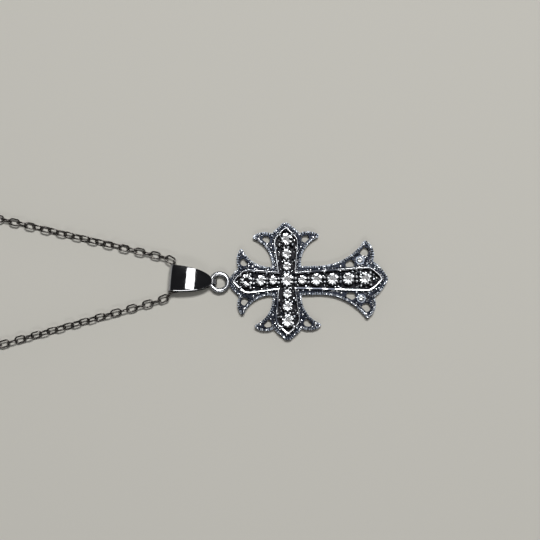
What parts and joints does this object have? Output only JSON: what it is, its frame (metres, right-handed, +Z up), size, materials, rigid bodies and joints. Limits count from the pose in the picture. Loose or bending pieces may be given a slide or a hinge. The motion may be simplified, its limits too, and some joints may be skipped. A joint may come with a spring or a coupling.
{
  "type": "cross pendant on a chain",
  "caption": "Cast cross pendant with flared pierced arms set with clear round stones, hung by a folded bail on a fine cable chain, laid flat.",
  "frame": {"origin": "middle of the cross's flat back, where the arms cross; z = 0 is the surface that it lies on", "axes": "+Y towards the bail and the chain, +X to the viewer's right with the bail up, +Z up off the surface, out of the cross's face"},
  "size_m": [0.0838, 0.2406, 0.0033],
  "materials": {
    "cast_metal": "bright plated casting, dark in the recesses",
    "polished_metal": "mirror polished",
    "chain_metal": "bright drawn wire, slightly darkened",
    "clear_stone": "round brilliant cut, clear"
  },
  "bodies": {
    "root": {"cross": "cast_metal", "bail": "polished_metal", "chain_left": "chain_metal", "chain_right": "chain_metal", "clasp": "chain_metal", "end_ring_left": "chain_metal", "end_ring_right": "chain_metal", "stone_centre": "clear_stone", "stone_top_1": "clear_stone", "stone_top_2": "clear_stone", "stone_top_3": "clear_stone", "stone_left_1": "clear_stone", "stone_left_2": "clear_stone", "stone_left_3": "clear_stone", "stone_right_1": "clear_stone", "stone_right_2": "clear_stone", "stone_right_3": "clear_stone", "stone_foot_1": "clear_stone", "stone_foot_2": "clear_stone", "stone_foot_3": "clear_stone", "stone_foot_4": "clear_stone", "stone_foot_5": "clear_stone", "stone_flare_left": "clear_stone", "stone_flare_right": "clear_stone"}
  },
  "joints": []
}
